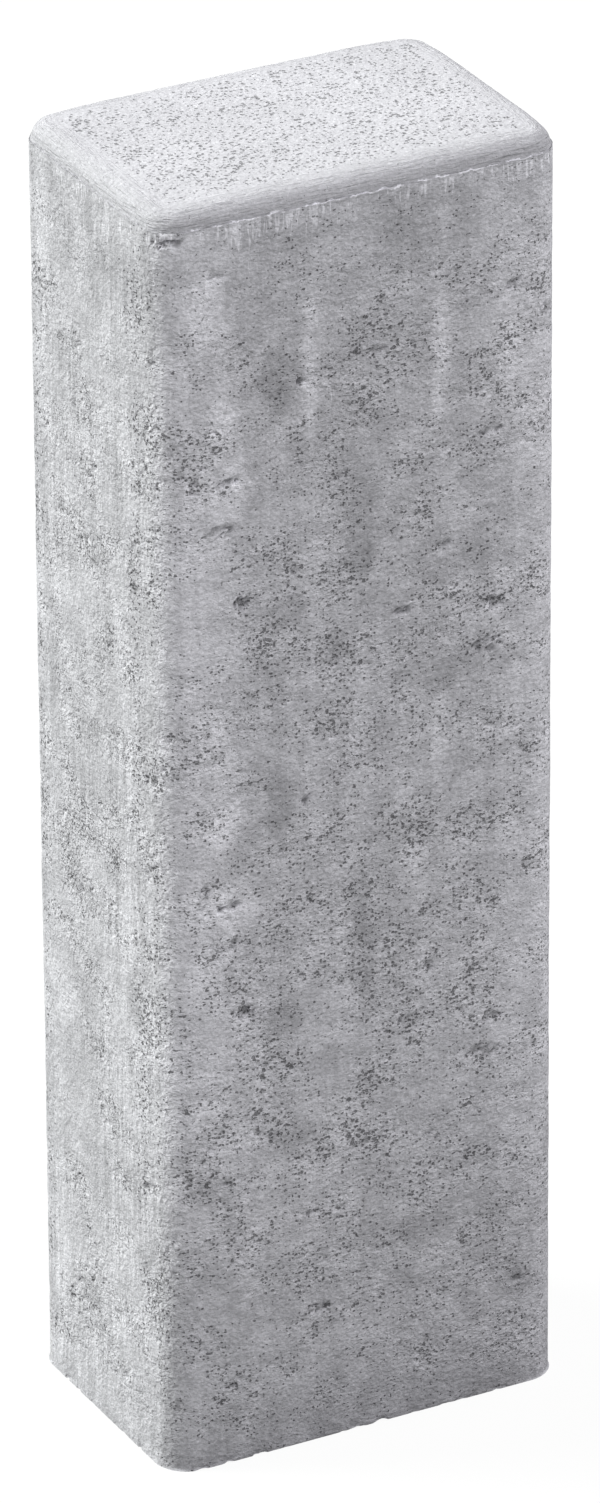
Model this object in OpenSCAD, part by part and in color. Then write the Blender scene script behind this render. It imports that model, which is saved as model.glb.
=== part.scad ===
// Palisade block: one upright concrete edging block, cast in a steel mould and pressed by a
// stamp from above. Millimetres, +Z up, origin at the middle of the base.

/* [Block] */
// Width across the two wide faces' ends, along X
block_width = 180; // [100:1:300]
// Depth from the front face to the back face, along Y
block_depth = 120; // [60:1:200]
// Height of the block as it stands, along Z
block_height = 550; // [200:10:1200]
// Radius of the four upright corners
corner_radius = 15; // [12:0.5:25]

/* [Top edge] */
// Radius of the rounding that the stamp presses around the top face
top_edge_radius = 8; // [3:0.5:10]
// Width of the flat ledge left between the mould wall and the stamp
ledge_width = 0.8; // [0.4:0.1:1.5]

/* [Hidden] */
$fn = 96;
concrete_grey = [0.70, 0.70, 0.72];
ledge_height = block_height - top_edge_radius;
// The corner arcs of the walls and of the stamped top share these centres.
corner_x = block_width / 2 - corner_radius;
corner_y = block_depth / 2 - corner_radius;
stamp_reach = corner_radius - ledge_width;

// Plan of the mould: a rectangle with round corners.
module mould_outline() {
    square([block_width, 2 * corner_y], center = true);
    square([2 * corner_x, block_depth], center = true);
    for (x = [-corner_x, corner_x], y = [-corner_y, corner_y])
        translate([x, y]) circle(r = corner_radius);
}

// Section of the stamped edge, from a corner's centre outwards: flat, then a quarter round.
module edge_section() {
    flat = stamp_reach - top_edge_radius;
    square([flat, top_edge_radius]);
    translate([flat, 0]) intersection() {
        circle(r = top_edge_radius);
        square(top_edge_radius);
    }
}

// Walls of the block, from the base to the ledge.
module walls() {
    linear_extrude(height = ledge_height) mould_outline();
}

// Top of the block above the ledge: a flat middle, four rounded sides and four rounded corners.
module stamped_top() {
    linear_extrude(height = top_edge_radius) square([2 * corner_x, 2 * corner_y], center = true);
    for (side = [0, 1]) {
        mirror([side, 0, 0]) translate([corner_x, 0, 0]) rotate([90, 0, 0])
            linear_extrude(height = 2 * corner_y, center = true) edge_section();
        mirror([0, side, 0]) translate([0, corner_y, 0]) rotate([90, 0, 90])
            linear_extrude(height = 2 * corner_x, center = true) edge_section();
    }
    for (flip_x = [0, 1], flip_y = [0, 1])
        mirror([flip_x, 0, 0]) mirror([0, flip_y, 0]) translate([corner_x, corner_y, 0])
            rotate_extrude(angle = 90) edge_section();
}

module palisade_block() {
    color(concrete_grey) union() {
        walls();
        translate([0, 0, ledge_height]) stamped_top();
    }
}

palisade_block();
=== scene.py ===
"""The looks of the concrete palisade block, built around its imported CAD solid.

One dense mesh stands for the block. Its ideal surface is laid out as rings from the base to the
top, pushed inwards by seeded noise, hollows and chips, and then thinned. What is finer than the
mesh is bump and colour in one procedural material.
"""

import math
from collections import namedtuple

import bpy
import numpy as np
from mathutils import Matrix, Vector


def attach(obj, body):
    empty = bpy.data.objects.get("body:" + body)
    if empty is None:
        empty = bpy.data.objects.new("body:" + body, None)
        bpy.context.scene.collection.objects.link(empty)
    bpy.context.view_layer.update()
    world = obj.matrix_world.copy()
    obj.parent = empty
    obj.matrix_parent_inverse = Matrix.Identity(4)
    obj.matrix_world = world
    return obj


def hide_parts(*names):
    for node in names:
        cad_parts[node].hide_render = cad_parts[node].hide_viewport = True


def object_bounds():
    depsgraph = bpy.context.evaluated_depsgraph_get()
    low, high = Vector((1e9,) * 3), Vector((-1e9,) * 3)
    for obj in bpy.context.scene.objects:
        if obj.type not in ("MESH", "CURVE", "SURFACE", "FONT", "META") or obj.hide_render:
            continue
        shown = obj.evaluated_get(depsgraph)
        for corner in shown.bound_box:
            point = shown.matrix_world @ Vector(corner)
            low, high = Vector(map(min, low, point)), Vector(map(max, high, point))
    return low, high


NODE = "palisade_block"
MM = 0.001
SEED = 18

# The cast shape, in millimetres, as in the CAD source.
CORNER_RADIUS = 15.0
EDGE_RADIUS = 8.0
LEDGE_WIDTH = 0.8

# The mesh: steps between points (mm), rows up the rounded edge, triangles after thinning, and
# the angle (degrees) from which an edge is drawn sharp.
MESH_STEP = 1.0
BASE_STEP = 1.5
EDGE_ROWS = 20
TRIANGLE_BUDGET = 190_000
SHARP_ANGLE = 55.0

# Thin bevels join the walls to the base and to the ledge. The walls' own rows of points start
# this far above the base and end this far below the ledge. All are in millimetres.
BASE_BEVEL = 0.4
LEDGE_BEVEL = 0.2
WALL_START = 1.2
WALL_END = 0.8

# Hollows in the wide face that is seen, in millimetres: across from its middle line, height of
# the middle, half width, half height and depth.
FRONT_HOLLOWS = [
    (-73, 433, 3.0, 6.0, 1.8), (-61, 433, 5.5, 2.5, 1.8), (-64, 413, 8.0, 3.0, 1.3),
    (-54, 381, 5.5, 2.8, 2.2), (-33, 388, 2.5, 6.0, 1.4), (-28, 469, 2.6, 2.2, 2.0),
    (5, 475, 6.0, 1.5, 1.1), (65, 490, 5.5, 2.5, 1.4), (86, 475, 8.0, 1.8, 1.8),
    (17, 361, 4.5, 2.6, 2.0), (58, 355, 5.0, 3.0, 1.5), (54, 338, 9.0, 4.0, 1.3),
    (35, 385, 4.0, 3.0, 1.2), (56, 430, 6.0, 2.0, 1.3), (-71, 256, 3.5, 5.5, 1.7),
    (-60, 250, 6.0, 2.5, 1.8), (-62, 233, 7.0, 3.0, 1.3), (-55, 202, 5.5, 2.8, 2.1),
    (-27, 289, 2.6, 2.4, 1.9), (18, 180, 4.5, 2.4, 1.9), (57, 172, 5.0, 3.2, 1.6),
    (53, 157, 8.0, 4.0, 1.3), (86, 291, 8.0, 1.8, 1.6), (-76, 131, 8.0, 2.6, 1.4),
    (27, 202, 5.0, 2.0, 1.3), (-22, 60, 6.0, 2.5, 1.3), (-62, 34, 3.0, 2.5, 1.3),
    (68, 49, 5.0, 2.0, 1.3), (-24, 104, 4.0, 2.0, 1.2), (-84, 537, 8.0, 3.0, 2.2),
    (-64, 521, 5.0, 2.0, 1.1), (87, 505, 7.0, 1.6, 1.5), (87, 437, 8.0, 1.4, 1.6),
    (86, 398, 7.0, 2.0, 1.4), (87, 352, 7.0, 1.5, 1.4), (87, 243, 8.0, 1.6, 1.5),
    (86, 160, 7.0, 1.8, 1.3),
]
# The same for the narrow face that is seen, across from its middle line to the near corner.
SIDE_HOLLOWS = [
    (50, 486, 4.0, 2.5, 1.7), (36, 384, 3.0, 3.5, 1.3), (49, 305, 4.0, 2.0, 1.5),
    (43, 124, 6.0, 2.5, 1.6), (35, 206, 3.0, 3.0, 1.2), (-25, 262, 2.5, 1.8, 1.1),
    (-18, 53, 5.0, 1.8, 1.2), (-25, 42, 2.5, 1.8, 1.1), (-20, 524, 2.0, 1.5, 1.0),
]

# Paler and darker patches on the same two faces, laid out in the same way. The last number is
# the share by which the tone goes up or down.
FRONT_PATCHES = [
    (-68, 505, 8, 15, 0.20), (-80, 478, 7, 12, 0.14), (-62, 460, 8, 10, 0.28),
    (-58, 425, 9, 15, 0.25), (-80, 408, 7, 14, 0.14), (-24, 470, 3.5, 34, 0.22),
    (33, 472, 4.5, 30, 0.22), (22, 432, 9, 8, 0.12), (65, 480, 7, 42, 0.14),
    (-68, 330, 7, 10, 0.14), (-62, 285, 8, 10, 0.26), (-58, 247, 9, 14, 0.22),
    (-24, 292, 3.5, 30, 0.20), (33, 292, 4.5, 28, 0.20), (22, 250, 8, 8, 0.12),
    (-38, 472, 8, 22, -0.20), (-39, 471, 4, 7, -0.16), (-2, 400, 7, 32, -0.20),
    (0, 388, 5, 8, -0.14), (-35, 372, 9, 7, -0.19), (-15, 352, 8, 7, -0.16),
    (40, 332, 32, 10, -0.14), (20, 520, 12, 22, -0.11), (48, 380, 8, 11, -0.14),
    (-39, 292, 8, 18, -0.20), (-2, 220, 7, 32, -0.20), (-35, 195, 9, 7, -0.14),
    (-15, 172, 8, 7, -0.14), (-70, 125, 11, 8, -0.14), (-33, 142, 11, 8, -0.12),
    (15, 85, 28, 6, -0.12), (15, 60, 11, 7, -0.12), (68, 49, 10, 7, -0.16),
]
SIDE_PATCHES = [
    (-38, 510, 13, 32, 0.11), (33, 532, 10, 8, 0.07), (-10, 495, 8, 12, 0.07),
    (-25, 358, 9, 12, 0.11), (-25, 178, 9, 12, 0.11), (-22, 322, 6, 24, 0.09),
    (-35, 52, 8, 26, 0.09), (30, 450, 4, 30, 0.08), (12, 507, 9, 14, -0.15),
    (-22, 462, 8, 10, -0.13), (18, 433, 8, 10, -0.10), (5, 390, 8, 9, -0.10),
    (34, 385, 7, 10, -0.13), (-22, 378, 7, 5, -0.10), (-38, 350, 7, 8, -0.10),
    (17, 253, 9, 10, -0.11), (5, 210, 8, 9, -0.10), (34, 205, 8, 10, -0.11),
    (-22, 198, 7, 6, -0.10), (5, 112, 8, 9, -0.10), (33, 122, 8, 10, -0.11),
    (35, 88, 7, 9, -0.11), (-10, 52, 8, 9, -0.09), (-48, 178, 9, 30, 0.10),
    (-48, 345, 8, 26, 0.08),
]

# How ragged the outlines of hollows and patches are, in shares of their half sizes.
HOLLOW_RAGGEDNESS = 0.85
PATCH_RAGGEDNESS = 0.9
# Each spot is whole out to this share of its half size, and fades from there.
HOLLOW_CORE = 0.60
PATCH_CORE = 0.78
# The ground is open round each hollow, out to this many times the hollow's size. It fades from
# this share of that.
OPEN_REACH = 2.6
OPEN_CORE = 0.1
# Points further than this many half sizes from a spot's middle are out of its reach.
SPOT_REACH = 1.8

# Each field of noise in the relief: its cells (mm) along X, Y and Z, a seed of its own, its
# layers, and how strong each layer is beside the one before.
FIELDS = {
    "rough ground": ((26.0, 26.0, 18.0), 1, 4, 0.6),
    "waves": ((95.0, 95.0, 120.0), 2, 2, 0.5),
    "lumps": ((12.0, 12.0, 8.0), 3, 3, 0.6),
    "pits": ((4.6, 4.6, 3.2), 4, 2, 0.55),
    "wrinkles": ((16.0, 16.0, 1.6), 5, 2, 0.5),
    "gaps in the ledge": ((6.0, 6.0, 30.0), 6, 1, 0.5),
    "outlines of hollows": ((3.4, 3.4, 2.4), 7, 2, 0.7),
    "chips": ((7.0, 7.0, 5.0), 8, 2, 0.5),
    "outlines of patches": ((13.0, 13.0, 17.0), 9, 4, 0.65),
    "floors of hollows": ((3.6, 3.6, 2.4), 10, 2, 0.6),
}

# Depths, in millimetres. Waves, lumps and wrinkles lie about their depth below the CAD shape.
WAVE_DEPTH = 0.22
LUMP_DEPTH = 0.07
LUMP_DEPTH_ON_ROUGH = 0.20
PIT_DEPTH = 0.8
PIT_DEPTH_IN_BASE = 0.6
WRINKLE_DEPTH = 0.16
LEDGE_GAP_DEPTH = 0.45
CHIP_DEPTH = 1.5
# How far from the bottom edge chips reach.
CHIP_REACH = 3.2
# The share of the other relief that carries on inside a hollow.
RELIEF_IN_HOLLOWS = 0.4
# Hollows are between this shallow and this deep on their torn floors, as shares of their depth.
SHALLOW_FLOOR = 0.40
DEEP_FLOOR = 1.25

# What the open ground round hollows adds to the noise of rough ground, and how much less rough
# the walls are near the top.
OPEN_TO_ROUGH = 0.30
SMOOTHER_NEAR_TOP = 0.75
# What smooth ground takes off the noise of pits, the share of their depth that pits keep there,
# and what rough ground adds to that share.
FEWER_PITS_ON_SMOOTH = 0.3
PITS_ON_SMOOTH = 0.3
DEEPER_PITS_ON_ROUGH = 0.9

# Values of noise between which each kind of ground sets in.
ROUGH_FROM_TO = (-0.32, 0.38)
FLOORS_FROM_TO = (-0.22, 0.22)
PITS_FROM_TO = (0.22, 0.55)
GAPS_FROM_TO = (0.10, 0.45)
CHIPS_FROM_TO = (0.12, 0.55)
# Depths (mm) between which a hollow or pit gets painted shade.
DARK_FROM_TO = (0.5, 1.5)
# Heights above the base and distances below the top (mm) between which rough ground and the
# near corner's wear set in.
ROUGH_ABOVE_BASE = (4.0, 26.0)
ROUGH_BELOW_TOP = (45.0, 22.0)
WEAR_ABOVE_BASE = (2.0, 30.0)
WEAR_BELOW_TOP = (45.0, 10.0)
# Ways along the section (mm) between which wrinkles set in, past the ledge's height, and end,
# past the block's height.
WRINKLES_SET_IN = (1.0, 3.0)
WRINKLES_END = (3.0, 9.0)

# How far the upright corners are worn back, how much more the near one is, and how wide a strip
# beside each arc is worn, in millimetres.
CORNER_WEAR = 0.7
NEAR_CORNER_WEAR = 1.3
WEAR_REACH = 20.0

# Broad tone, as shares. The wide faces are paler beside their upright edges, most beside the near
# edge and the one opposite, which is painted light. They are darker in two steps towards the foot,
# which is painted shade near the floor, and the narrow faces are a little darker, which is painted
# shade too.
EDGE_PAINTED_LIGHT_LOW_DOWN = 0.04
EDGE_PAINTED_LIGHT = 0.14
PALEST_EDGE_PAINTED_LIGHT = 0.13
PAINTED_FOOT_SHADE = 0.10
PAINTED_LOWEST_SHADE = 0.14
NARROW_FACE_PAINTED_SHADE = 0.035
# Shares of the half width between which the strips beside the edges turn pale with painted light,
# and heights (mm) between which they get there and the two steps of painted shade at the foot end.
EDGE_STRIP = (0.50, 0.90)
EDGE_PAINTED_LIGHT_HEIGHTS = (60.0, 190.0)
FOOT_HEIGHTS = (50.0, 170.0)
LOWEST_HEIGHTS = (2.0, 38.0)
# How ragged these outlines are: the strips' in half widths, and the foot's in millimetres.
STRIP_RAGGEDNESS = 0.07
FOOT_RAGGEDNESS = 15.0
LOWEST_RAGGEDNESS = 7.0
# Sideways parts of the normal between which a point comes to belong to a wide or narrow face.
WIDE_FACE_FROM_TO = (0.2, 0.6)
NARROW_FACE_FROM_TO = (0.6, 0.95)

# The block's size in millimetres: half widths along X and Y, height, and height of the ledge.
Size = namedtuple("Size", "half_x half_y height ledge")
# One ring of the ideal surface: inset from the wall, height, the outward and upward parts of its
# normal, and the way along the section from the bottom edge.
Ring = namedtuple("Ring", "inset z outward upward along")


def block_size(low, high):
    """The size of the block that fills the box from low to high, which are in metres."""
    half_x, half_y = (high.x - low.x) / 2.0 / MM, (high.y - low.y) / 2.0 / MM
    height = (high.z - low.z) / MM
    return Size(half_x, half_y, height, height - EDGE_RADIUS)


def smooth_step(low, high, value):
    """0 below low, 1 above high, and a smooth ramp between them."""
    t = np.clip((value - low) / (high - low), 0.0, 1.0)
    return t * t * (3.0 - 2.0 * t)


def near_top(size, below_top, z):
    """0 further below the top than the first distance, and 1 nearer to it than the second."""
    far, near = below_top
    return smooth_step(size.height - far, size.height - near, z)


# ---------------------------------------------------------------- noise


# Every lattice point picks one of these directions, the same one in every run.
DIRECTIONS = np.random.default_rng(SEED).normal(size=(4096, 3))
DIRECTIONS /= np.linalg.norm(DIRECTIONS, axis=1, keepdims=True)
LATTICE_PRIMES = (73856093, 19349663, 83492791)
# How far one seed moves the lattice, in cells, how many seeds apart layers are, and what brings
# the values to about -1 to 1.
SEED_SHIFT = 17.31
LAYER_SEEDS = 31
NOISE_STRENGTH = 1.6


def noise(points, cell, seed):
    """Gradient noise, about -1 to 1, whose bumps are about one cell (mm) across."""
    scaled = points / cell + SEED_SHIFT * seed
    corner = np.floor(scaled)
    inside = scaled - corner
    blend = inside ** 3 * (inside * (inside * 6.0 - 15.0) + 10.0)
    keys = [[(corner[:, axis].astype(np.int64) + step) * prime for step in (0, 1)]
            for axis, prime in enumerate(LATTICE_PRIMES)]
    total = np.zeros(len(points))
    for dx, dy, dz in np.ndindex(2, 2, 2):
        toward = DIRECTIONS[(keys[0][dx] ^ keys[1][dy] ^ keys[2][dz]) % len(DIRECTIONS)]
        weight = np.ones(len(points))
        value = np.zeros(len(points))
        for axis, step in enumerate((dx, dy, dz)):
            weight *= blend[:, axis] if step else 1.0 - blend[:, axis]
            value += toward[:, axis] * (inside[:, axis] - step)
        total += weight * value
    return total * NOISE_STRENGTH


def field(name, points):
    """One of the fields of noise, about -1 to 1, with its finer and weaker layers added."""
    cell, seed, layers, gain = FIELDS[name]
    total, weight, strength = 0.0, 0.0, 1.0
    for layer in range(layers):
        layer_seed = SEED + seed + LAYER_SEEDS * layer
        total = total + strength * noise(points, np.array(cell) / 2.0 ** layer, layer_seed)
        weight += strength
        strength *= gain
    return total / weight


# ---------------------------------------------------------------- the ideal surface


def plan_loop(size):
    """The wall's plan as a closed loop: points, outward normals and the points on each stretch."""
    flat_x, flat_y = size.half_x - CORNER_RADIUS, size.half_y - CORNER_RADIUS
    count_x, count_y = round(2.0 * flat_x / MESH_STEP), round(2.0 * flat_y / MESH_STEP)
    count_arc = round(CORNER_RADIUS * math.pi / 2.0 / MESH_STEP)
    corners = [(-flat_x, -flat_y), (flat_x, -flat_y), (flat_x, flat_y), (-flat_x, flat_y)]
    centres, angles = [], []
    for side, count in enumerate((count_x, count_y, count_x, count_y)):
        start, end = np.array(corners[side]), np.array(corners[(side + 1) % 4])
        facing = 90.0 * (side - 1)
        for i in range(count):
            centres.append(start + (end - start) * i / count)
            angles.append(facing)
        for i in range(count_arc):
            centres.append(end)
            angles.append(facing + 90.0 * i / count_arc)
    turn = np.radians(angles)
    normals = np.column_stack([np.cos(turn), np.sin(turn)])
    return np.array(centres) + CORNER_RADIUS * normals, normals, (count_x, count_y, count_arc)


def wall_rings(ledge):
    """The rings from the bottom bevel to the outer rim of the ledge."""
    rings = [Ring(BASE_BEVEL, 0.0, 0.35, -0.94, -BASE_BEVEL)]
    rings.append(Ring(0.0, BASE_BEVEL, 0.94, -0.35, BASE_BEVEL))
    rows = round((ledge - WALL_START - WALL_END) / MESH_STEP)
    for z in np.linspace(WALL_START, ledge - WALL_END, rows):
        rings.append(Ring(0.0, z, 1.0, 0.0, z))
    rings.append(Ring(0.0, ledge - LEDGE_BEVEL, 0.95, 0.31, ledge - LEDGE_BEVEL))
    rings.append(Ring(LEDGE_BEVEL, ledge, 0.90, 0.44, ledge + LEDGE_BEVEL))
    return rings


def profile(size):
    """All rings, from where the base's arcs shrink to nothing to where the top's do."""
    rings = [Ring(inset, 0.0, 0.0, -1.0, -inset)
             for inset in np.arange(CORNER_RADIUS, BASE_BEVEL, -BASE_STEP)]
    rings += wall_rings(size.ledge)
    rings.append(Ring(LEDGE_WIDTH, size.ledge, 0.71, 0.71, size.ledge + LEDGE_WIDTH))
    for turn in np.radians(np.linspace(0.0, 90.0, EDGE_ROWS + 1)[1:]):
        inset = LEDGE_WIDTH + EDGE_RADIUS * (1.0 - math.cos(turn))
        z = size.ledge + EDGE_RADIUS * math.sin(turn)
        along = size.ledge + LEDGE_WIDTH + EDGE_RADIUS * turn
        rings.append(Ring(inset, z, math.cos(turn), math.sin(turn), along))
    flat_start, last = LEDGE_WIDTH + EDGE_RADIUS, rings[-1].along
    steps = math.ceil(CORNER_RADIUS - flat_start)
    for inset in np.linspace(flat_start, CORNER_RADIUS, steps + 1)[1:]:
        rings.append(Ring(inset, size.height, 0.0, 1.0, last + inset - flat_start))
    return rings


def ring_faces(index):
    """Two triangles for each cell between rings that close on themselves."""
    a, d = index[:-1], index[1:]
    b, c = np.roll(a, -1, axis=1), np.roll(d, -1, axis=1)
    return np.concatenate([np.stack([a, b, c], -1).reshape(-1, 3),
                           np.stack([a, c, d], -1).reshape(-1, 3)])


def grid_faces(grid, upwards):
    """Two triangles for each cell of an open grid."""
    a, b, c, d = grid[:-1, :-1], grid[:-1, 1:], grid[1:, 1:], grid[1:, :-1]
    faces = np.concatenate([np.stack([a, b, c], -1).reshape(-1, 3),
                            np.stack([a, c, d], -1).reshape(-1, 3)])
    return faces if upwards else faces[:, ::-1]


def merged_columns(columns, starts, count_arc):
    """The column that each column joins where every arc has shrunk to one point."""
    merged = np.arange(columns)
    for start in np.roll(starts, -1) - count_arc:
        merged[np.arange(start, start + count_arc + 1) % columns] = start % columns
    return merged


def rimmed_grid(edge, starts, count_x, count_y):
    """A grid of point numbers for the flat inside a ring. Only its rim is filled in."""
    edge = np.append(edge, edge[0])
    grid = np.zeros((count_y + 1, count_x + 1), int)
    grid[0, :] = edge[starts[0]:starts[0] + count_x + 1]
    grid[:, -1] = edge[starts[1]:starts[1] + count_y + 1]
    grid[-1, ::-1] = edge[starts[2]:starts[2] + count_x + 1]
    grid[::-1, 0] = edge[starts[3]:starts[3] + count_y + 1]
    return grid


def ideal_surface(size):
    """Points, outward normals, way along the section and triangles, before any relief."""
    wall, outward, (count_x, count_y, count_arc) = plan_loop(size)
    rings = profile(size)
    columns = len(wall)
    ones = np.ones(columns)
    points = np.concatenate([np.column_stack([wall - ring.inset * outward, ring.z * ones])
                             for ring in rings])
    normals = np.concatenate([np.column_stack([ring.outward * outward, ring.upward * ones])
                              for ring in rings])
    along = np.repeat([ring.along for ring in rings], columns)
    index = np.arange(len(points)).reshape(len(rings), columns)
    starts = np.cumsum([0, count_x + count_arc, count_y + count_arc, count_x + count_arc])
    for end in (0, -1):
        index[end] = index[end][merged_columns(columns, starts, count_arc)]
    faces = [ring_faces(index)]

    # Inside the innermost ring of each end lies a plain grid.
    for end, upwards in ((0, False), (-1, True)):
        ring = rings[end]
        grid = rimmed_grid(index[end], starts, count_x, count_y)
        across, deep = np.meshgrid(points[grid[0, 1:-1], 0], points[grid[1:-1, -1], 1])
        inner = np.column_stack([across.ravel(), deep.ravel(), np.full(across.size, ring.z)])
        grid[1:-1, 1:-1] = len(points) + np.arange(len(inner)).reshape(across.shape)
        points = np.concatenate([points, inner])
        normals = np.concatenate([normals, np.tile((0.0, 0.0, ring.upward), (len(inner), 1))])
        along = np.concatenate([along, np.full(len(inner), ring.along)])
        faces.append(grid_faces(grid, upwards))
    faces = np.concatenate(faces)
    faces = faces[(faces != np.roll(faces, 1, axis=1)).all(axis=1)]
    used, faces = np.unique(faces, return_inverse=True)
    return points[used], normals[used], along[used], faces.reshape(-1, 3)


# ---------------------------------------------------------------- relief


def all_round(front, side, size):
    """Spots for all four walls: middle, half sizes along X, Y and Z, and strength. The hidden
    walls get those of the seen ones, turned half way round and upside down."""
    seen = [((x, -size.half_y, z), (a, a, b), strength) for x, z, a, b, strength in front]
    seen += [((-size.half_x, -y, z), (a, a, b), strength) for y, z, a, b, strength in side]
    hidden = [((-x, -y, size.height - z), sizes, strength) for (x, y, z), sizes, strength in seen]
    return seen + hidden


def spots_at(points, spots, ragged, core):
    """For each spot, the points near it and its strength there. It fades from its core out."""
    for middle, half_sizes, strength in spots:
        away = (points - middle) / half_sizes
        near = np.flatnonzero(np.abs(away).max(axis=1) < SPOT_REACH)
        distance = np.linalg.norm(away[near], axis=1) + ragged[near]
        yield near, strength * (1.0 - smooth_step(core, 1.0, distance))


def hollows(points, along, size):
    """How deep the hollows are, and how much they open the ground round them."""
    ragged = HOLLOW_RAGGEDNESS * field("outlines of hollows", points)
    hollow, opened = np.zeros(len(points)), np.zeros(len(points))
    spots = all_round(FRONT_HOLLOWS, SIDE_HOLLOWS, size)
    for near, depth in spots_at(points, spots, ragged, HOLLOW_CORE):
        hollow[near] = np.maximum(hollow[near], depth)
    wide = [(middle, np.multiply(sizes, OPEN_REACH), 1.0) for middle, sizes, _ in spots]
    for near, share in spots_at(points, wide, ragged, OPEN_CORE):
        opened[near] = np.maximum(opened[near], share)
    torn = smooth_step(*FLOORS_FROM_TO, field("floors of hollows", points))
    hollow *= SHALLOW_FLOOR + (DEEP_FLOOR - SHALLOW_FLOOR) * torn
    return hollow * (along < size.ledge), opened


def rough_ground(points, opened, size):
    """1 where the mix stayed open. It thins out towards both ends of the walls."""
    z = points[:, 2]
    rough = field("rough ground", points) + OPEN_TO_ROUGH * opened
    rough = smooth_step(*ROUGH_FROM_TO, rough)
    rough *= smooth_step(*ROUGH_ABOVE_BASE, z)
    return rough * (1.0 - SMOOTHER_NEAR_TOP * near_top(size, ROUGH_BELOW_TOP, z))


def wrinkles(points, along, size):
    """Wrinkles that the stamp leaves. They run along the rounding, so they change quickly only
    across it."""
    (start, whole), (fading, gone) = WRINKLES_SET_IN, WRINKLES_END
    rounded = smooth_step(size.ledge + start, size.ledge + whole, along)
    rounded *= 1.0 - smooth_step(size.height + fading, size.height + gone, along)
    section = np.column_stack([points[:, :2], along])
    return WRINKLE_DEPTH * rounded * (1.0 + field("wrinkles", section))


def corner_wear(points, size):
    """The upright corners are worn a little rounder than the mould made them, the near one most."""
    z = points[:, 2]
    to_arc_x = np.maximum(size.half_x - CORNER_RADIUS - np.abs(points[:, 0]), 0.0)
    to_arc_y = np.maximum(size.half_y - CORNER_RADIUS - np.abs(points[:, 1]), 0.0)
    from_arc = np.hypot(to_arc_x, to_arc_y) / WEAR_REACH
    near_corner = (points[:, 0] < 0.0) & (points[:, 1] < 0.0)
    between_ends = smooth_step(*WEAR_ABOVE_BASE, z) * (1.0 - near_top(size, WEAR_BELOW_TOP, z))
    wear = CORNER_WEAR + NEAR_CORNER_WEAR * near_corner * between_ends
    return wear * np.maximum(1.0 - from_arc, 0.0) ** 2


def ledge_gaps(points, along, size):
    """The ledge is broken away in places."""
    near_ledge = np.exp(-((along - size.ledge) / LEDGE_WIDTH) ** 2)
    gaps = smooth_step(*GAPS_FROM_TO, field("gaps in the ledge", points))
    return LEDGE_GAP_DEPTH * (near_ledge * gaps)


def bottom_chips(points, along):
    """The bottom edge is chipped."""
    bottom_edge = 1.0 - smooth_step(0.0, CHIP_REACH, np.abs(along))
    return CHIP_DEPTH * bottom_edge * smooth_step(*CHIPS_FROM_TO, field("chips", points))


def relief(points, normals, along, size):
    """How far each point is pushed in, and the masks that the material reads."""
    hollow, opened = hollows(points, along, size)
    rough = rough_ground(points, opened, size)
    waves = WAVE_DEPTH * (1.0 + field("waves", points))
    lumps = 1.0 + field("lumps", points)
    lumps *= LUMP_DEPTH + LUMP_DEPTH_ON_ROUGH * rough
    pits = field("pits", points) + FEWER_PITS_ON_SMOOTH * (rough - 1.0)
    pits = smooth_step(*PITS_FROM_TO, pits)
    pits *= PITS_ON_SMOOTH + DEEPER_PITS_ON_ROUGH * rough

    depth = waves + lumps + PIT_DEPTH * pits + wrinkles(points, along, size)
    depth = depth + ledge_gaps(points, along, size) + corner_wear(points, size)
    depth = np.maximum(depth, hollow + RELIEF_IN_HOLLOWS * depth)
    facing_down = normals[:, 2] < -0.5
    depth = np.where(facing_down, PIT_DEPTH_IN_BASE * pits, depth) + bottom_chips(points, along)
    # Painted shade in hollows and deep pits, which the material darkens.
    cavity = smooth_step(*DARK_FROM_TO, np.maximum(hollow, 0.9 * pits))
    tone = patches_and_painted_light(points, normals, size)
    return depth, {"cavity": cavity, "rough": rough, "along": along * MM, "tone": tone}


def patches_and_painted_light(points, normals, size):
    """How pale or dark the concrete is at each point, 1 being the middle: patches of its own tone,
    strips of painted light beside the wide faces' upright edges, and painted shade at their foot
    and on the narrow faces.
    """
    z = points[:, 2]
    tone = np.ones(len(points))
    ragged = PATCH_RAGGEDNESS * field("outlines of patches", points)
    patches = all_round(FRONT_PATCHES, SIDE_PATCHES, size)
    for near, change in spots_at(points, patches, ragged, PATCH_CORE):
        tone[near] += change

    wide_face = smooth_step(*WIDE_FACE_FROM_TO, np.abs(normals[:, 1]))
    from_middle = np.abs(points[:, 0]) / size.half_x
    # Painted light: strips beside the wide faces' upright edges are paler, most at the near edge
    # and the one opposite.
    beside_edge = smooth_step(*EDGE_STRIP, from_middle + STRIP_RAGGEDNESS * ragged)
    palest_edge = PALEST_EDGE_PAINTED_LIGHT * (points[:, 0] * points[:, 1] > 0.0)
    edge_painted_light = (EDGE_PAINTED_LIGHT + palest_edge) * smooth_step(*EDGE_PAINTED_LIGHT_HEIGHTS, z)
    tone += wide_face * beside_edge * (EDGE_PAINTED_LIGHT_LOW_DOWN + edge_painted_light)
    # Painted shade: the wide faces darken in two steps towards the foot, as the floor's shadow
    # would darken them.
    foot = 1.0 - smooth_step(*FOOT_HEIGHTS, z + FOOT_RAGGEDNESS * ragged)
    lowest = 1.0 - smooth_step(*LOWEST_HEIGHTS, z + LOWEST_RAGGEDNESS * ragged)
    shade = PAINTED_FOOT_SHADE * foot + PAINTED_LOWEST_SHADE * lowest
    # Painted shade: the narrow faces are a little darker all over.
    narrow_face = smooth_step(*NARROW_FACE_FROM_TO, np.abs(normals[:, 0]))
    return tone - wide_face * shade - NARROW_FACE_PAINTED_SHADE * narrow_face


# ---------------------------------------------------------------- the mesh


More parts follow.
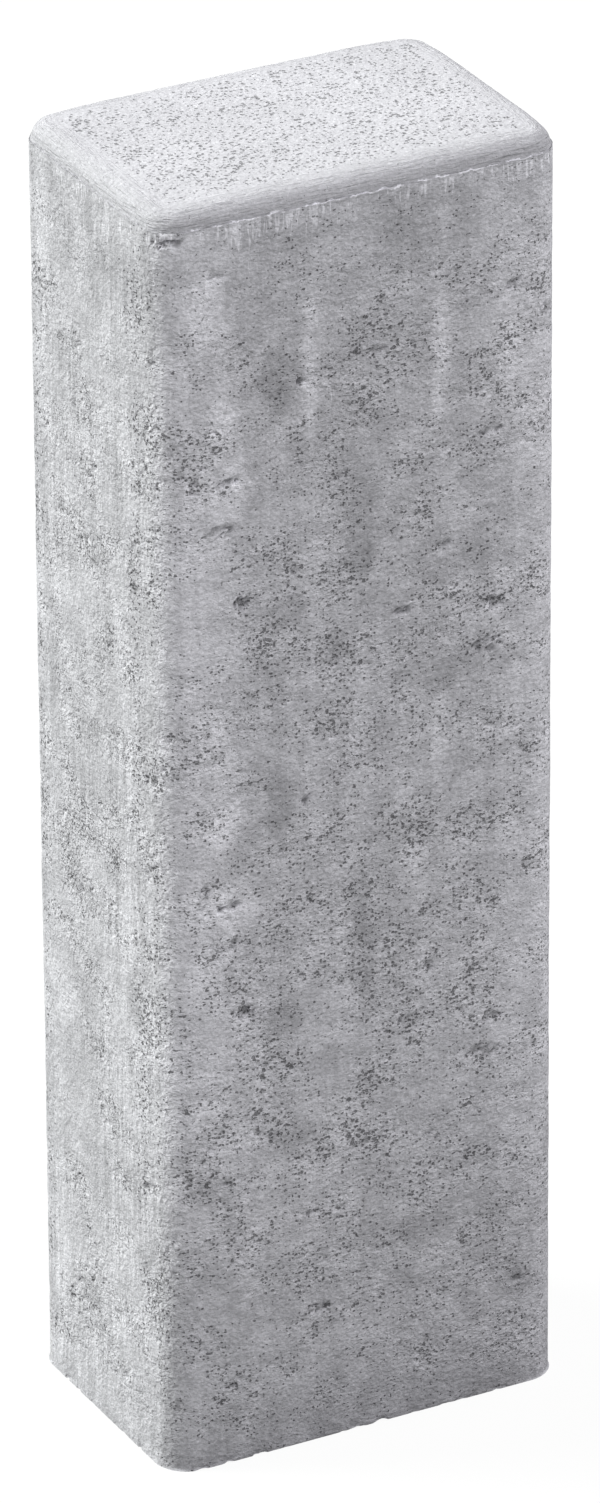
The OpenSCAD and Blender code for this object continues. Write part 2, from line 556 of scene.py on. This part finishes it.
def new_mesh(places, faces, masks):
    """A mesh of triangles, with one number from each mask on every point."""
    mesh = bpy.data.meshes.new("weathered_block")
    mesh.vertices.add(len(places))
    mesh.vertices.foreach_set("co", places.ravel())
    mesh.loops.add(faces.size)
    mesh.loops.foreach_set("vertex_index", faces.ravel())
    mesh.polygons.add(len(faces))
    mesh.polygons.foreach_set("loop_start", np.arange(0, faces.size, 3))
    mesh.update(calc_edges=True)
    mesh.validate()
    for name, values in masks.items():
        mesh.attributes.new(name, "FLOAT", "POINT").data.foreach_set("value", values)
    return mesh


def block_object(low, high, material):
    """The weathered block as one thinned mesh, inside the box from low to high."""
    size = block_size(low, high)
    points, normals, along, faces = ideal_surface(size)
    depth, masks = relief(points, normals, along, size)
    normals /= np.linalg.norm(normals, axis=1, keepdims=True)
    middle = np.array([(low.x + high.x) / 2.0, (low.y + high.y) / 2.0, low.z])
    places = middle + (points - normals * depth[:, None]) * MM
    block = bpy.data.objects.new("weathered_block", new_mesh(places, faces, masks))
    bpy.context.scene.collection.objects.link(block)

    thin = block.modifiers.new("thin", "DECIMATE")
    thin.ratio = TRIANGLE_BUDGET / len(faces)
    bpy.context.view_layer.objects.active = block
    bpy.ops.object.modifier_apply(modifier=thin.name)
    places = np.zeros((len(block.data.vertices), 3), np.float32)
    block.data.vertices.foreach_get("co", places.ravel())
    block.data.vertices.foreach_set("co", np.clip(places, low, high).ravel())
    block.data.polygons.foreach_set("use_smooth", np.ones(len(block.data.polygons), bool))
    block.data.set_sharp_from_angle(angle=math.radians(SHARP_ANGLE))
    block.data.materials.append(material)
    return block


# ---------------------------------------------------------------- short calls for nodes


class Tree:
    """Short calls for building one node tree."""

    def __init__(self, tree):
        self.tree = tree
        tree.nodes.clear()

    def node(self, kind, settings=None, inputs=None):
        """A new node with these settings, and with these values or links on its inputs."""
        made = self.tree.nodes.new(kind)
        for name, value in (settings or {}).items():
            setattr(made, name, value)
        for name, value in (inputs or {}).items():
            if isinstance(value, bpy.types.NodeSocket):
                self.tree.links.new(value, made.inputs[name])
            else:
                made.inputs[name].default_value = value
        return made

    def maths(self, operation, first, second=0.0, third=0.0):
        """One sum, of values or links."""
        inputs = {0: first, 1: second, 2: third}
        return self.node("ShaderNodeMath", {"operation": operation}, inputs).outputs[0]

    def product(self, first, *others):
        """All of them multiplied."""
        for other in others:
            first = self.maths("MULTIPLY", first, other)
        return first

    def noise(self, place, period, detail, roughness, distortion=0.0):
        """Noise from 0 to 1, 0.5 in the middle, whose bumps are about one period (mm) across."""
        inputs = {"Vector": place, "Scale": 1.0 / (period * MM), "Detail": detail,
                  "Roughness": roughness, "Distortion": distortion}
        return self.node("ShaderNodeTexNoise", inputs=inputs).outputs["Fac"]

    def ramp(self, value, low, high, to_low=0.0, to_high=1.0):
        """A smooth ramp from to_low, where value is low, to to_high, where it is high."""
        inputs = {"Value": value, "From Min": low, "From Max": high,
                  "To Min": to_low, "To Max": to_high}
        settings = {"interpolation_type": "SMOOTHSTEP"}
        return self.node("ShaderNodeMapRange", settings, inputs).outputs["Result"]

    def swing(self, noise, edge, by, middle=1.0):
        """Noise turned into a swing to either side of the middle. It is whole where the noise is
        this much past 0.5, on either side."""
        return self.ramp(noise, 0.5 - edge, 0.5 + edge, middle - by, middle + by)

    def stretched(self, place, scale):
        """The place scaled, so that what is drawn there comes out larger where scale is small."""
        return self.node("ShaderNodeMapping", inputs={"Vector": place, "Scale": scale}).outputs[0]

    def ragged(self, place, period, amount):
        """The place moved by up to half the amount (mm), so that outlines turn out ragged."""
        inputs = {"Vector": place, "Scale": 1.0 / (period * MM), "Detail": 1.0}
        shift = self.node("ShaderNodeTexNoise", inputs=inputs).outputs["Color"]
        return self.node("ShaderNodeVectorMath", {"operation": "MULTIPLY_ADD"},
                         {0: shift, 1: (amount * MM,) * 3, 2: place}).outputs[0]

    def attribute(self, name):
        """One of the masks on the mesh."""
        return self.node("ShaderNodeAttribute", {"attribute_name": name}).outputs["Fac"]


# ---------------------------------------------------------------- the concrete

CONCRETE_COLOUR = (0.544, 0.5385, 0.577)
CONCRETE_ROUGHNESS = 0.93
CONCRETE_SPECULAR = 0.25

# Small pores, in millimetres: how far apart the places are where one may open, and the largest
# radius. The exponent makes the smaller ones the more common.
PORE_SPACING = 1.40
LARGEST_PORE = 0.76
PORE_EXPONENT = 1.2
# How many small pores each kind of ground gets, where they crowd least and most.
PORES_ON_WALLS = (0.30, 0.60)
PORES_ON_TOP = (0.60, 0.78)
PORES_ON_ROUNDING = (0.0, 0.30)
PORES_EVERYWHERE = 0.30
# What rough ground, crevices and dark patches, painted shade among them, add to that on the walls,
# and what is taken off it low down and near the top, with the heights and the distances below the
# top (mm) for it.
PORES_ON_ROUGH = 0.33
PORES_IN_CREVICES = 0.30
PORES_IN_DARK = 0.35
FEWER_PORES_LOW = 0.10
LOW_HEIGHTS = (60.0, 190.0)
FEWER_PORES_HIGH = 0.09
HIGH_BELOW_TOP = (170.0, 50.0)
# Large pores open where their noise is under this level, which crowds and rough ground raise.
LARGE_PORE_LEVEL = (0.250, 0.290)
LARGE_PORES_ON_ROUGH = 0.080

# How far each kind of noise swings the tone to either side, as a share.
BLOTCH_SWING = 0.03
STREAK_SWING = 0.05
PATCH_SWING = 0.08
SCRATCH_SWING = 0.11
GRAIN_SWING = 0.12
# Scratches show on the narrow faces, and this much of them on the wide ones.
SCRATCHES_ON_WIDE = 0.25
# What painted shade takes off the tone in pores and leaves of it in hollows, what pale grains add
# to it as painted highlights, and what drags add.
PORE_PAINTED_SHADE_ON_WALLS = 0.63
PORE_PAINTED_SHADE_ON_TOP = 0.54
TONE_UNDER_HOLLOW_SHADE = 0.66
GRAIN_PAINTED_HIGHLIGHT = 0.19
DRAG_PALENESS = 0.40
# Drags show where their noise is over a level. It falls from the first value to the second
# between these distances (mm) below the ledge. Zones with few drags raise it, and it is lower
# near the place across the face (mm) that has the most.
DRAG_LEVEL = (0.80, 0.50)
DRAG_REACH = (18.0, 2.0)
DRAG_ZONES = 0.14
MOST_DRAGS_AT = -28.0
MOST_DRAGS_REACH = (15.0, 45.0)
MORE_DRAGS_THERE = 0.07
# The painted highlight that the ledge's line adds to the tone, and what it adds beside the upright
# edges, where it is a painted shadow line instead.
LIP_PAINTED_HIGHLIGHT = 0.68
LIP_PAINTED_SHADOW_AT_EDGES = -0.15
# The tone in the line of painted shade above the ledge, and there beside the upright edges.
PAINTED_SHADE_ABOVE_LIP = 0.84
PAINTED_SHADE_ABOVE_LIP_AT_EDGES = 0.94

# What rough ground does to the tone, where there is none of it and where it is whole: painted
# light, paler on rough ground to make up for the shade of its bump and pores.
ROUGH_GROUND_PAINTED_LIGHT = (0.97, 1.09)

# The bump: millimetres for one unit of it, and the units of each kind.
BUMP_UNIT = 0.6
SMALL_PORE_BUMP = -1.0
LARGE_PORE_BUMP = -1.6
GRAIN_BUMP = 1.1
LUMP_BUMP = 2.6
RIPPLE_BUMP = 2.4
# What the fine bump is multiplied by, from smooth ground to rough, and from the middle of a wide
# face to its upright edges.
ROUGH_BUMP = (0.70, 1.45)
EDGE_BUMP = (1.0, 1.10)
# How many times finer ripples are up the section than along the rounding.
RIPPLE_SQUEEZE = 9.0


class Concrete:
    """The nodes of the concrete. Places and masks that several parts read are made here once.
    Lengths that go into its methods are in millimetres."""

    def __init__(self, tree, size):
        self.t = t = Tree(tree)
        self.half_width, self.height = size.half_x * MM, size.height * MM
        self.ledge = size.ledge * MM
        self.place = t.node("ShaderNodeTexCoord").outputs["Object"]
        parts = t.node("ShaderNodeSeparateXYZ", inputs={"Vector": self.place}).outputs
        self.x, self.y, self.z = parts["X"], parts["Y"], parts["Z"]
        self.from_middle = t.maths("ABSOLUTE", self.x)
        self.cavity, self.rough = t.attribute("cavity"), t.attribute("rough")
        self.along, self.patches_and_painted_light = t.attribute("along"), t.attribute("tone")

        self.on_walls = self.past_ledge(-2.0, 1.0, 1.0, 0.0)
        self.on_top = self.past_ledge(13.5, 19.5)
        above_walls = t.maths("SUBTRACT", 1.0, self.on_walls)
        self.on_rounding = t.maths("SUBTRACT", above_walls, self.on_top)
        self.on_narrow = self.by_edge(6.0, 1.5)
        # The grain is weakest on the rounding, which the stamp closed.
        open_walls = t.maths("MULTIPLY_ADD", self.on_walls, 0.35, 0.65)
        self.open_ground = t.maths("MULTIPLY_ADD", self.on_top, 0.20, open_walls)

        # Pores and grain are a little wider than they are high.
        self.flat_place = t.stretched(self.place, (0.92, 1.05, 1.22))
        self.torn_place = t.ragged(self.flat_place, period=0.9, amount=1.3)
        self.crowd = t.noise(self.place, period=16.0, detail=3.0, roughness=0.65)
        self.grain = t.noise(self.flat_place, period=1.4, detail=2.0, roughness=0.6)

    def past_ledge(self, low, high, to_low=0.0, to_high=1.0):
        """A ramp up the section, between two distances past the ledge."""
        low, high = self.ledge + low * MM, self.ledge + high * MM
        return self.t.ramp(self.along, low, high, to_low, to_high)

    def by_edge(self, far, near, to_far=0.0, to_near=1.0):
        """A ramp across the wide faces, between two distances from their upright edges."""
        far, near = self.half_width - far * MM, self.half_width - near * MM
        return self.t.ramp(self.from_middle, far, near, to_far, to_near)

    def tall_noise(self, squeeze, period, detail, roughness):
        """Noise whose bumps are drawn out upwards, the more the smaller the squeeze is."""
        place = self.t.stretched(self.place, (1.0, 1.0, squeeze))
        return self.t.noise(place, period, detail, roughness)

    def pores_wanted(self):
        """How many small pores open, from 0 to 1. They crowd together on rough ground and on the
        top, and are rare on the rounding between."""
        t = self.t
        crevice = t.noise(self.torn_place, period=24.0, detail=4.0, roughness=0.6, distortion=0.3)
        crevice = t.maths("ABSOLUTE", t.maths("SUBTRACT", crevice, 0.5))
        crevice = t.product(t.ramp(crevice, 0.002, 0.022, 1.0, 0.0), t.ramp(self.rough, 0.25, 0.80))
        dark = t.maths("SUBTRACT", 1.0, self.patches_and_painted_light)
        walls = t.ramp(self.crowd, 0.38, 0.62, *PORES_ON_WALLS)
        walls = t.maths("MULTIPLY_ADD", self.rough, PORES_ON_ROUGH, walls)
        walls = t.maths("MULTIPLY_ADD", crevice, PORES_IN_CREVICES, walls)
        walls = t.maths("MULTIPLY_ADD", dark, PORES_IN_DARK, walls)
        low, high = (height * MM for height in LOW_HEIGHTS)
        walls = t.maths("SUBTRACT", walls, t.ramp(self.z, low, high, FEWER_PORES_LOW, 0.0))
        low, high = (self.height - distance * MM for distance in HIGH_BELOW_TOP)
        walls = t.maths("SUBTRACT", walls, t.ramp(self.z, low, high, 0.0, FEWER_PORES_HIGH))
        top = t.ramp(self.crowd, 0.35, 0.65, *PORES_ON_TOP)
        rounding = t.ramp(self.crowd, 0.40, 0.65, *PORES_ON_ROUNDING)
        wanted = t.maths("MULTIPLY_ADD", self.on_top, top, t.product(walls, self.on_walls))
        wanted = t.maths("MULTIPLY_ADD", self.on_rounding, rounding, wanted)
        return t.maths("ADD", wanted, PORES_EVERYWHERE)

    def small_pores(self):
        """Crisp specks at random places, a little wider than they are high, which the tone darkens
        with painted shade, the softer dents round them, and pale grains in cells of their own,
        which it lightens with painted highlights."""
        t = self.t
        inputs = {"Vector": self.torn_place, "Scale": 1.0 / (PORE_SPACING * MM)}
        cell = t.node("ShaderNodeTexVoronoi", inputs=inputs).outputs
        chances = t.node("ShaderNodeSeparateColor", inputs={"Color": cell["Color"]}).outputs
        share = t.maths("MAXIMUM", t.maths("SUBTRACT", self.pores_wanted(), chances[0]), 0.0)
        radius = t.product(t.maths("POWER", share, PORE_EXPONENT), LARGEST_PORE / PORE_SPACING)
        from_rim = t.maths("SUBTRACT", cell["Distance"], radius)
        pores = t.ramp(from_rim, -0.12, 0.02, 1.0, 0.0)
        dents = t.ramp(from_rim, -0.26, 0.08, 1.0, 0.0)
        # Pale grains, which the tone lightens as painted highlights of lit grains.
        grains = t.ramp(cell["Distance"], 0.20, 0.42, 1.0, 0.0)
        return pores, dents, t.product(grains, t.ramp(chances[1], 0.68, 0.72))

    def large_pores(self):
        """Larger pores are ragged, and open only on rough ground."""
        t = self.t
        level = t.ramp(self.crowd, 0.35, 0.65, *LARGE_PORE_LEVEL)
        level = t.maths("MULTIPLY_ADD", self.rough, LARGE_PORES_ON_ROUGH, level)
        room = t.noise(self.torn_place, period=3.4, detail=3.0, roughness=0.6, distortion=0.3)
        room = t.maths("SUBTRACT", room, level)
        return t.product(t.ramp(room, -0.030, 0.006, 1.0, 0.0), self.on_walls)

    def ground_tone(self):
        """Broad patches, painted light and painted shade from the mesh, upright streaks, ragged
        small patches, and rough ground painted paler.
        """
        t = self.t
        blotches = t.noise(self.place, period=60.0, detail=3.0, roughness=0.55)
        blotches = t.swing(blotches, 0.12, BLOTCH_SWING)
        streaks = self.tall_noise(0.09, period=14.0, detail=4.0, roughness=0.65)
        streaks = t.swing(streaks, 0.12, STREAK_SWING)
        patches = t.noise(self.flat_place, period=15.0, detail=5.0, roughness=0.68)
        patches = t.swing(patches, 0.07, PATCH_SWING)
        scratches = self.tall_noise(0.05, period=2.6, detail=2.0, roughness=0.55)
        scratches = t.swing(scratches, 0.14, SCRATCH_SWING, middle=0.0)
        zone = t.ramp(t.noise(self.place, period=45.0, detail=1.0, roughness=0.5), 0.42, 0.60)
        on_face = t.maths("MAXIMUM", self.on_narrow, SCRATCHES_ON_WIDE)
        scratches = t.product(scratches, zone, on_face)
        # Rough ground is painted paler, light that makes up for the shade of its bump and pores.
        walls = t.product(blotches, streaks, patches, self.patches_and_painted_light,
                          t.maths("ADD", scratches, 1.0), t.ramp(self.rough, 0.0, 1.0, *ROUGH_GROUND_PAINTED_LIGHT))
        inputs = {"Factor": self.on_walls, "A": blotches, "B": walls}
        return t.node("ShaderNodeMix", inputs=inputs).outputs[0]

    def pitted_tone(self, pores, grain_highlights):
        """The ground's tone with fine grain, pale grains as painted highlights, and painted shade
        in pores and hollows.
        """
        t = self.t
        grain = t.swing(self.grain, 0.15, GRAIN_SWING, middle=0.0)
        # Painted shade in the pores, a little less of it on the top.
        shade = t.ramp(self.on_top, 0.0, 1.0, PORE_PAINTED_SHADE_ON_WALLS, PORE_PAINTED_SHADE_ON_TOP)
        return t.product(self.ground_tone(),
                         t.maths("MULTIPLY_ADD", grain, self.open_ground, 1.0),
                         t.maths("MULTIPLY_ADD", grain_highlights, GRAIN_PAINTED_HIGHLIGHT, 1.0),
                         t.maths("SUBTRACT", 1.0, t.product(pores, shade)),
                         t.ramp(self.cavity, 0.0, 1.0, 1.0, TONE_UNDER_HOLLOW_SHADE))

    def drags(self):
        """Pale upright drag marks hang under the ledge, most of them left of the middle."""
        t = self.t
        far, near = DRAG_REACH
        level = self.past_ledge(-far, -near, *DRAG_LEVEL)
        zone = self.tall_noise(0.2, period=14.0, detail=1.0, roughness=0.5)
        level = t.maths("ADD", level, t.ramp(zone, 0.35, 0.65, DRAG_ZONES, 0.0))
        from_most = t.maths("ABSOLUTE", t.maths("SUBTRACT", self.x, MOST_DRAGS_AT * MM))
        near, far = (distance * MM for distance in MOST_DRAGS_REACH)
        level = t.maths("SUBTRACT", level, t.ramp(from_most, near, far, MORE_DRAGS_THERE, 0.0))
        marks = self.tall_noise(0.13, period=1.4, detail=2.0, roughness=0.5)
        marks = t.ramp(t.maths("SUBTRACT", marks, level), 0.0, 0.07)
        return t.product(marks, self.on_walls)

    def lip(self):
        """The ledge's own thin line, which carries a painted highlight or a painted shadow line. It
        wobbles a little and fades out in places.
        """
        t = self.t
        wobble = t.noise(self.place, period=4.0, detail=3.0, roughness=0.6)
        wobble = t.swing(wobble, 0.2, 0.8 * MM, middle=0.0)
        from_line = t.maths("SUBTRACT", t.maths("ADD", self.along, wobble), self.ledge + 0.3 * MM)
        line = t.ramp(t.maths("ABSOLUTE", from_line), 0.2 * MM, 0.9 * MM, 1.0, 0.0)
        shown = t.noise(self.place, period=5.0, detail=3.0, roughness=0.6)
        return t.product(line, t.ramp(shown, 0.34, 0.54))

    def tone(self, pores, grain_highlights):
        """The whole tone: the pitted ground, drags, the ledge's line as a painted highlight, and a
        line of painted shade above it.
        """
        t = self.t
        lip = self.lip()
        # The ledge's line: a painted highlight on the wide faces, a painted shadow line by and
        # round the upright edges.
        change = self.by_edge(14.0, 6.0, LIP_PAINTED_HIGHLIGHT, LIP_PAINTED_SHADOW_AT_EDGES)
        tone = self.pitted_tone(pores, grain_highlights)
        tone = t.maths("MULTIPLY_ADD", self.drags(), DRAG_PALENESS, tone)
        tone = t.maths("MULTIPLY_ADD", lip, change, tone)
        # Painted shade in a line above the ledge, on the lower part of the rounding.
        darkest = self.by_edge(12.0, 4.0, PAINTED_SHADE_ABOVE_LIP, PAINTED_SHADE_ABOVE_LIP_AT_EDGES)
        painted_shade_above_lip = t.maths("MAXIMUM", self.past_ledge(1.2, 6.5, darkest, 1.0), self.on_walls)
        return t.product(tone, t.maths("MAXIMUM", painted_shade_above_lip, lip))

    def bump(self, dents, large_pores):
        """Pores, grain and soft lumps, stronger on rough ground, and ripples on the rounding."""
        t = self.t
        along = t.product(self.along, RIPPLE_SQUEEZE)
        inputs = {"X": self.x, "Y": self.y, "Z": along}
        ripple_place = t.node("ShaderNodeCombineXYZ", inputs=inputs).outputs[0]
        ripples = t.noise(ripple_place, period=10.0, detail=3.0, roughness=0.6)
        ripples = t.maths("SUBTRACT", ripples, 0.5)
        lumps = t.noise(self.flat_place, period=3.2, detail=3.0, roughness=0.6)
        fine = t.maths("MULTIPLY_ADD", self.grain, GRAIN_BUMP, t.product(lumps, LUMP_BUMP))
        fine = t.maths("SUBTRACT", fine, (GRAIN_BUMP + LUMP_BUMP) / 2.0)
        fine = t.product(fine, t.ramp(self.rough, 0.0, 1.0, *ROUGH_BUMP), self.open_ground)
        fine = t.maths("MULTIPLY_ADD", ripples, t.product(self.on_rounding, RIPPLE_BUMP), fine)
        fine = t.product(fine, self.by_edge(16.0, 4.0, *EDGE_BUMP))
        height = t.product(dents, SMALL_PORE_BUMP)
        height = t.maths("MULTIPLY_ADD", large_pores, LARGE_PORE_BUMP, height)
        height = t.maths("ADD", height, fine)
        inputs = {"Strength": 1.0, "Distance": BUMP_UNIT * MM, "Height": height}
        return t.node("ShaderNodeBump", inputs=inputs).outputs["Normal"]


def concrete_material(size):
    """Earth-moist cast concrete: blotched grey, open pores, fine grain and drag marks."""
    material = bpy.data.materials.new("cast_concrete")
    material.use_nodes = True
    concrete = Concrete(material.node_tree, size)
    t = concrete.t
    small_pores, dents, grain_highlights = concrete.small_pores()
    large_pores = concrete.large_pores()
    tone = concrete.tone(t.maths("MAXIMUM", small_pores, large_pores), grain_highlights)
    colour = t.node("ShaderNodeVectorMath", {"operation": "SCALE"},
                    {0: CONCRETE_COLOUR, "Scale": tone}).outputs[0]
    inputs = {"Base Color": colour, "Normal": concrete.bump(dents, large_pores),
              "Roughness": CONCRETE_ROUGHNESS, "Specular IOR Level": CONCRETE_SPECULAR}
    shader = t.node("ShaderNodeBsdfPrincipled", inputs=inputs).outputs[0]
    t.node("ShaderNodeOutputMaterial", inputs={"Surface": shader})
    return material


# ---------------------------------------------------------------- the studio

FLOOR_SIZE = 8.0
# The floor's grey for the light, and its glow and its shadow's depth for the camera.
FLOOR_GREY = 0.35
FLOOR_GLOW = 0.905
FLOOR_SHADE = 0.09
WORLD_LIGHT = 0.208
# Each lamp: name, direction towards it, strength, the angle that its light spreads over, colour.
LAMPS = [
    ("key", (-0.645, 0.545, 0.535), 4.19, 35.0, (0.97, 1.0, 0.945)),
    ("overhead", (0.10, -0.52, 0.85), 1.68, 45.0, (1.0, 1.0, 1.0)),
    ("rim", (0.85, -0.10, 0.50), 0.85, 40.0, (1.0, 1.0, 1.0)),
]

# The camera's angles are in degrees, its distance in metres, and its lens and sensor in
# millimetres.
CAMERA_AZIMUTH = -27.93
CAMERA_ELEVATION = 26.50
CAMERA_ROLL = -0.383
CAMERA_DISTANCE = 4.5
CAMERA_LENS = 271.6
CAMERA_SENSOR = 36.0
# The point looked at: this far (m) to the right of the middle, and this share of the height.
LOOK_RIGHT = 0.00213
LOOK_HEIGHT = 0.5046


def grey(level):
    """A grey with full alpha."""
    return (level, level, level, 1.0)


def seen_directly(t):
    """1 for camera, mirror and glass rays, and 0 for the rays that light the block."""
    path = t.node("ShaderNodeLightPath").outputs
    seen = t.maths("MAXIMUM", path["Is Camera Ray"], path["Is Glossy Ray"])
    return t.maths("MAXIMUM", seen, path["Is Transmission Ray"])


def floor_material():
    """Grey to the light, and white with a faint shadow to the camera."""
    material = bpy.data.materials.new("studio_floor")
    material.use_nodes = True
    t = Tree(material.node_tree)
    lit = t.node("ShaderNodeBsdfDiffuse", inputs={"Color": grey(FLOOR_GREY)}).outputs[0]
    glow = t.node("ShaderNodeEmission", inputs={"Strength": FLOOR_GLOW}).outputs[0]
    shade = t.node("ShaderNodeBsdfDiffuse", inputs={"Color": grey(FLOOR_SHADE)}).outputs[0]
    shown = t.node("ShaderNodeAddShader", inputs={0: glow, 1: shade}).outputs[0]
    mixed = t.node("ShaderNodeMixShader", inputs={0: seen_directly(t), 1: lit, 2: shown})
    t.node("ShaderNodeOutputMaterial", inputs={"Surface": mixed.outputs[0]})
    return material


def add_floor():
    """A plain floor, which isn't part of the object."""
    bpy.ops.mesh.primitive_plane_add(size=FLOOR_SIZE)
    floor = bpy.context.object
    floor.name = "studio_floor"
    floor.data.materials.append(floor_material())


def add_world():
    """White to the camera, and a soft even light on the block."""
    world = bpy.data.worlds.new("studio")
    bpy.context.scene.world = world
    world.use_nodes = True
    t = Tree(world.node_tree)
    strength = t.ramp(seen_directly(t), 0.0, 1.0, WORLD_LIGHT, 1.0)
    inputs = {"Color": grey(1.0), "Strength": strength}
    background = t.node("ShaderNodeBackground", inputs=inputs).outputs[0]
    t.node("ShaderNodeOutputWorld", inputs={"Surface": background})


def add_lamps():
    """Wide suns, which give soft shadows."""
    for name, towards, strength, spread, colour in LAMPS:
        lamp = bpy.data.lights.new(name, "SUN")
        lamp.energy = strength
        lamp.color = colour
        lamp.angle = math.radians(spread)
        holder = bpy.data.objects.new(name, lamp)
        holder.rotation_mode = "QUATERNION"
        holder.rotation_quaternion = Vector(towards).to_track_quat("Z", "Y")
        bpy.context.scene.collection.objects.link(holder)


def add_camera(low, high):
    """A long lens that sees the wide face, the narrow one on its left, and the top."""
    azimuth, elevation = math.radians(CAMERA_AZIMUTH), math.radians(CAMERA_ELEVATION)
    back = Vector((math.sin(azimuth) * math.cos(elevation),
                   -math.cos(azimuth) * math.cos(elevation), math.sin(elevation)))
    right = Vector((0.0, 0.0, 1.0)).cross(back).normalized()
    up = back.cross(right)
    middle = (low + high) / 2.0
    target = Vector((middle.x, middle.y, low.z + LOOK_HEIGHT * (high.z - low.z)))
    target += LOOK_RIGHT * right
    data = bpy.data.cameras.new("camera")
    data.sensor_width = CAMERA_SENSOR
    data.lens = CAMERA_LENS
    camera = bpy.data.objects.new("camera", data)
    roll = Matrix.Rotation(math.radians(CAMERA_ROLL), 3, "Z")
    turned = Matrix((right, up, back)).transposed() @ roll
    camera.matrix_world = Matrix.LocRotScale(target + CAMERA_DISTANCE * back, turned, None)
    bpy.context.scene.collection.objects.link(camera)
    bpy.context.scene.camera = camera


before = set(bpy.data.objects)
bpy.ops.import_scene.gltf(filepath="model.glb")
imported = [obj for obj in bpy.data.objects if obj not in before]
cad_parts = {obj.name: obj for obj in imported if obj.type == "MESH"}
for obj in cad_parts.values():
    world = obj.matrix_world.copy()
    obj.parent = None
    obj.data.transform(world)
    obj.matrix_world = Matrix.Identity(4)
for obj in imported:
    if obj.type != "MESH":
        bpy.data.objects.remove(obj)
cad_low, cad_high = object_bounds()
concrete = concrete_material(block_size(cad_low, cad_high))
block = block_object(cad_low, cad_high, concrete)
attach(block, "root")
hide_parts(NODE)
add_floor()
add_world()
add_lamps()
add_camera(cad_low, cad_high)
bpy.context.scene.view_settings.view_transform = "Standard"
